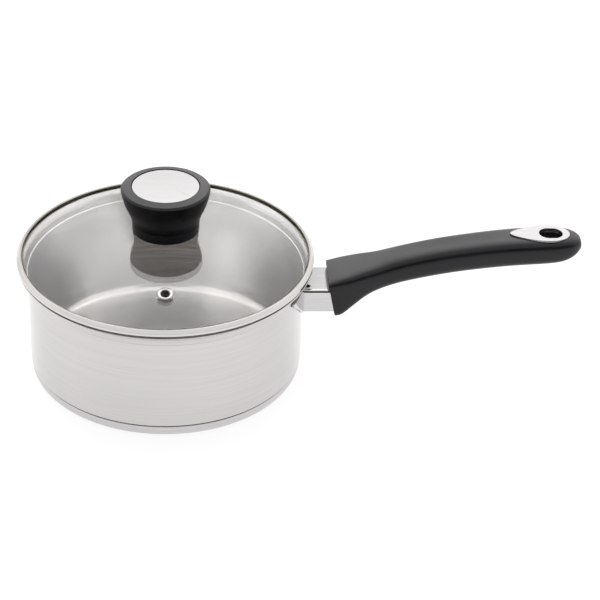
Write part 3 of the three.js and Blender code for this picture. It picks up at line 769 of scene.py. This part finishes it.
def makeGrip():
    shape = bmesh.new()
    rings = [gripRing(shape, station) for station in grip["stations"]]
    for first, second in zip(rings, rings[1:]):
        bmesh.ops.bridge_loops(shape, edges=ringEdges(first) + ringEdges(second))
    crease = shape.edges.layers.float.new("crease_edge")
    for edge in ringEdges(rings[0]):
        edge[crease] = grip["crease"]
    for ring in (rings[0], rings[-1]):
        bmesh.ops.contextual_create(shape, geom=ringEdges(ring))
    tail = [face for face in shape.faces if len(face.verts) > 4 and face.calc_center_median().x > 0.2]
    bmesh.ops.inset_region(shape, faces=tail, thickness=grip["tailInset"] * mm,
                           depth=grip["tailDepth"] * mm, use_even_offset=True)
    piece = makeObject("handleGrip", shape, "gripPlastic", 180)
    smooth = piece.modifiers.new("smooth", "SUBSURF")
    smooth.levels = 2
    smooth.render_levels = 2
    applyModifiers(piece)
    gap = grip["gap"]
    half = bracket["halfWidth"] + gap
    carve(piece, plainBox((grip["socketStart"], -half, bracket["bottom"] - gap),
                          (grip["socketEnd"], half, bracket["top"] + gap)))
    recess, rim = dropOutline(gap)
    carve(piece, prism(recess, ringEdges(rim), inlay["top"] - inlay["thickness"] - gap, 100))
    opening = bmesh.new()
    carve(piece, prism(opening, ringEdges(slotOutline(opening, inlay["holeGap"])), 60, 100))
    carve(piece, plainCylinder(gripScrew["bore"], -14, -4, 48, tangFrame()))
    carve(piece, plainCylinder(gripScrew["well"], -14, -gripScrew["seat"] + gap, 48, tangFrame()))
    piece.data.set_sharp_from_angle(angle=radians(grip["sharp"]))
    attach(piece, "root", "handle_grip")


def makeInlay():
    shape, rim = dropOutline(0)
    hole = slotOutline(shape, 0)
    bmesh.ops.translate(shape, vec=(0, 0, inlay["top"] * mm), verts=shape.verts[:])
    bmesh.ops.bridge_loops(shape, edges=ringEdges(rim) + ringEdges(hole))
    if shape.faces[:][0].normal.z < 0:
        bmesh.ops.reverse_faces(shape, faces=shape.faces[:])
    outer = bmesh.ops.extrude_edge_only(shape, edges=ringEdges(rim))["geom"]
    bmesh.ops.translate(shape, vec=(0, 0, -inlay["thickness"] * mm), verts=onlyVerts(outer))
    inner = bmesh.ops.extrude_edge_only(shape, edges=ringEdges(hole))["geom"]
    bmesh.ops.translate(shape, vec=(0, 0, -inlay["lip"] * mm), verts=onlyVerts(inner))
    piece = makeObject("handleInlay", shape, "inlaySteel")
    thicken(piece, inlay["sheet"], -1)
    roundEdges(piece, inlay["edge"])
    weighNormals(piece)
    attach(piece, "root", "handle_inlay")


def makeGripScrew():
    seat, head, shank, end = -gripScrew["seat"], gripScrew["head"], gripScrew["shank"], gripScrew["end"]
    under = seat - gripScrew["headHeight"]
    corners = [
        (0, under, 0), (head, under, 1.2), (head, seat, 0), (shank, seat, 0), (shank, end, 0.3), (0, end, 0)]
    piece = turnedPiece("handleScrew", corners, "fastenerSteel", steps=48, roundSteps=4)
    cutSlot(piece, head + 1.4, gripScrew["slot"], under, gripScrew["slotDepth"])
    piece.data.transform(tangFrame())
    piece.data.set_sharp_from_angle(angle=radians(35))
    attach(piece, "root", "handle_screw")


makeGrip()
makeInlay()
makeGripScrew()
print("handle made")


# the lid

dome = {"edge": 85.3, "edgeTop": 75.2, "edgeBottom": 73.2, "apex": 92.5, "thick": 3.2, "edgeRound": 0.6,
        "arcSteps": 40, "stemHole": 4.0, "ventHole": 3.5}
band = {"radius": 87, "top": 77, "sheet": 0.4, "mouth": 83.75, "bead": 84.3, "under": 0.8}
vent = {"distance": 60, "hole": 2.3, "barrel": 3.2, "flange": 5, "gap": 0.3, "reach": 2,
        "washerGap": 0.45, "washer": 0.8}


def sphereOf(apex, edge):
    fall = apex - edge
    return (dome["edge"] ** 2 + fall ** 2) / (2 * fall)


def domeHeight(radius, apex, edge):
    sphere = sphereOf(apex, edge)
    return apex - sphere + sqrt(sphere ** 2 - radius ** 2)


def glassTop(radius):
    return domeHeight(radius, dome["apex"], dome["edgeTop"])


def glassUnder(radius):
    return domeHeight(radius, dome["apex"] - dome["thick"], dome["edgeBottom"])


def ventFrame():
    slope = asin(vent["distance"] / sphereOf(dome["apex"], dome["edgeTop"]))
    place = Matrix.Translation((0, -vent["distance"] * mm, glassTop(vent["distance"]) * mm))
    return place @ Matrix.Rotation(slope, 4, "X")


def domeArc(shape, apex, edge):
    # an arc from the axis to the glass edge, made by turning its top point about the sphere's centre
    sphere = sphereOf(apex, edge)
    start = shape.verts.new((0, 0, apex * mm))
    turned = bmesh.ops.spin(shape, geom=[start], cent=(0, 0, (apex - sphere) * mm), axis=(0, 1, 0),
                            dvec=(0, 0, 0), angle=asin(dome["edge"] / sphere), steps=dome["arcSteps"],
                            use_merge=False, use_duplicate=False)
    return onlyVerts(turned["geom_last"])[0]


def makeGlass():
    shape = bmesh.new()
    upper = domeArc(shape, dome["apex"], dome["edgeTop"])
    lower = domeArc(shape, dome["apex"] - dome["thick"], dome["edgeBottom"])
    shape.edges.new((upper, lower))
    bmesh.ops.bevel(shape, geom=[upper, lower], offset=dome["edgeRound"] * mm, offset_type="OFFSET",
                    segments=4, profile=0.5, affect="VERTICES", material=-1)
    turnShape(shape, 256)
    piece = makeObject("lidGlass", shape, "lidGlass", 50)
    carve(piece, plainCylinder(dome["stemHole"], 80, 100, 48))
    carve(piece, plainCylinder(dome["ventHole"], -8, 8, 48, ventFrame()))
    piece.data.set_sharp_from_angle(angle=radians(50))
    weighNormals(piece)
    attach(piece, "lid", "lid_glass")


def makeBand():
    mouth, sheet, outside, top, bead = (band[key] for key in ("mouth", "sheet", "radius", "top", "bead"))
    bottom = dome["edgeBottom"] - band["under"]
    corners = [
        # a small bead on the crimped edge, painted dark brown as the shade in the groove round the glass
        (mouth, top - 0.2, 0.1), (bead - 0.05, top - 0.15, 0),
        # over the top, down the outside and in under the glass
        (bead + 0.05, top, 0.1), (bead + 1, top, 0.15), (outside, top - 1.7, 0.08),
        (outside, top - 3.1, 0.25), (outside - 0.5, top - 3.7, 0.2), (outside - 1.3, bottom, 0.2),
        (mouth, bottom, 0.12),
        # back along the inside of the sheet
        (mouth, bottom + sheet, 0.1), (outside - 1.45, bottom + sheet, 0.1), (outside - 1, top - 3.6, 0.1),
        (outside - 0.5, top - 2, 0.1), (bead + 0.3, top - 0.6, 0.2), (mouth + 0.2, top - 0.6, 0),
        (mouth + 0.2, top - 1.4, 0), (mouth, top - 1.4, 0)]
    finish = ["bandSteel", "crimpPaintedShade", "bandTopPaintedShade"]
    piece = turnedPiece("lidBand", corners, finish, closed=True, steps=256)
    # the groove round the glass is painted dark brown as shade
    paintFaces(piece, lambda middle, normal: middle.z > (top - 1.5) * mm and middle.xy.length < bead * mm)
    # the band's flat top outside the bead is painted darker as the shade line at the rim
    paintFaces(piece, lambda middle, normal: normal.z > 0.93 and middle.z > (top - 0.5) * mm
               and middle.xy.length > bead * mm, 2)
    weighNormals(piece)
    attach(piece, "lid", "lid_band")


def makeVent():
    place = ventFrame()
    away = place.inverted()
    under = glassUnder(vent["distance"]) - glassTop(vent["distance"])
    hole, barrel, flange, gap = vent["hole"], vent["barrel"], vent["flange"], vent["gap"]
    end = under - vent["reach"]
    corners = [
        (hole, end, 0.1), (barrel, end, 0.3), (barrel, gap, 0.1), (flange, gap, 0.15),
        (flange, gap + 0.3, 0.2), (flange - 0.7, gap + 1.1, 0.6), (hole + 0.7, gap + 1.15, 0.5),
        (hole, gap + 0.6, 0.4)]
    finish = ["eyeletSteel", "paintedShadeSteel"]
    piece = turnedPiece("ventEyelet", corners, finish, closed=True, steps=96, place=place)
    # the bore is painted near black as the shade inside the hole
    paintFaces(piece, lambda middle, normal: (away @ middle).xy.length < (hole + 0.12) * mm)
    attach(piece, "lid", "vent_eyelet")
    inner, outer = barrel + gap, flange - 0.2
    top = under - vent["washerGap"]
    bottom = top - vent["washer"]
    corners = [(inner, bottom, 0.15), (outer, bottom, 0.3), (outer, top, 0.1), (inner, top, 0.1)]
    piece = turnedPiece("ventWasher", corners, "eyeletSteel", closed=True, steps=96, place=place)
    attach(piece, "lid", "vent_washer")


makeGlass()
makeBand()
makeVent()
print("lid made")


# the knob

knob = {"top": 120.5, "radius": 25.9, "waist": 19.6, "seat": 97.7, "disc": 19.5, "insert": 5, "screw": 2.8,
        "gap": 0.3, "pocket": 1.6, "discThick": 1.3}
baseRing = {"bottom": 94, "well": 11.6, "lift": 0.4, "foot": 0.6, "side": 0.1}
fixing = {"sealRadius": 11, "lowSealRadius": 10, "washerRadius": 9, "sheet": 0.8,
          "head": 4.6, "headHeight": 2.4, "screwEnd": 108, "slot": 0.45, "slotAt": 2.2, "slotDepth": 0.8}


def makeKnob():
    top, seat, waist, radius = knob["top"], knob["seat"], knob["waist"], knob["radius"]
    discEdge, pocket = knob["disc"] + knob["gap"], top - knob["pocket"]
    corners = [
        (0, seat, 0), (waist, seat, 0.5), (waist + 0.2, seat + 3, 3), (radius - 0.7, seat + 15, 6),
        (radius, top - 1.9, 0.8), (radius - 1.1, top - 0.9, 0.25), (discEdge, top + 0.2, 0.35),
        (discEdge, pocket, 0.1), (0, pocket, 0)]
    piece = turnedPiece("knobBody", corners, ["knobPlastic", "knobTopPaintedSheen"], steps=192, roundSteps=8)
    # the top faces take the glossier copy, a painted sheen that keeps the top bright while the sides stay
    # dark
    paintFaces(piece, lambda middle, normal: normal.z > 0.6 and middle.z > (top - 2) * mm)
    weighNormals(piece)
    attach(piece, "lid", "knob_body")


def makeBaseRing():
    waist, well, lift = knob["waist"], baseRing["well"], baseRing["lift"]
    inner, top = knob["insert"] + knob["gap"], knob["seat"] - knob["gap"]
    foot, side = waist - baseRing["foot"], waist - baseRing["side"]
    onGlass = glassTop(waist) + lift
    corners = [
        (inner, baseRing["bottom"], 0), (well, baseRing["bottom"], 0), (well, glassTop(well) + lift, 0),
        (foot, onGlass, 0.2), (side, onGlass + lift, 0.4), (side, top, 0.35), (inner, top, 0)]
    piece = turnedPiece("knobBaseRing", corners, "ringPlastic", closed=True, steps=128)
    weighNormals(piece)
    attach(piece, "lid", "knob_base_ring")


def makeDisc():
    top, edge = knob["top"], knob["disc"]
    bottom = top - knob["discThick"]
    corners = [(0, bottom, 0), (edge, bottom, 0.1), (edge, top - 0.1, 0.45), (0, top, 0)]
    piece = turnedPiece("knobDisc", corners, "discSteel", steps=192)
    weighNormals(piece)
    attach(piece, "lid", "knob_disc")


def flatWasher(name, node, finish, inner, outer, bottom, top):
    corners = [(inner, bottom, 0.1), (outer, bottom, 0.25), (outer, top, 0.25), (inner, top, 0.1)]
    piece = turnedPiece(name, corners, finish, closed=True, steps=96, roundSteps=4)
    attach(piece, "lid", node)


def makeKnobFixing():
    gap, sheet, screw = knob["gap"], fixing["sheet"], knob["screw"]
    stem = screw + gap
    under = glassUnder(fixing["lowSealRadius"])
    flatWasher("knobSealTop", "knob_seal_top", "sealSilicone",
               knob["insert"] + 1, fixing["sealRadius"], dome["apex"] + gap, baseRing["bottom"] - gap)
    sealTop = under - gap
    flatWasher("knobSealBottom", "knob_seal_bottom", "sealSilicone",
               stem, fixing["lowSealRadius"], sealTop - sheet, sealTop)
    washerTop = sealTop - sheet - gap
    flatWasher("knobWasher", "knob_washer", "fastenerSteel",
               stem, fixing["washerRadius"], washerTop - sheet, washerTop)
    seat = washerTop - sheet - gap
    head, low, end = fixing["head"], seat - fixing["headHeight"], fixing["screwEnd"]
    corners = [
        (0, low, 0), (head, low, 1.6), (head, seat, 0.1), (screw, seat, 0), (screw, end, 0.4), (0, end, 0)]
    piece = turnedPiece("knobScrew", corners, "fastenerSteel", steps=64)
    cutSlot(piece, head + 1.4, fixing["slot"], seat - fixing["slotAt"], fixing["slotDepth"])
    piece.data.set_sharp_from_angle(angle=radians(35))
    attach(piece, "lid", "knob_screw")


makeKnob()
makeBaseRing()
makeDisc()
makeKnobFixing()
print("knob made")


# pieces kept from the frame

keptFinishes = {"base_core": "coreAluminium", "handle_tang": "fastenerSteel", "handle_nut": "fastenerSteel",
                "knob_insert": "insertBrass"}
for node, finish in keptFinishes.items():
    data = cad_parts[node].data
    data.materials.clear()
    data.materials.append(finishes[finish])
print("kept pieces finished")
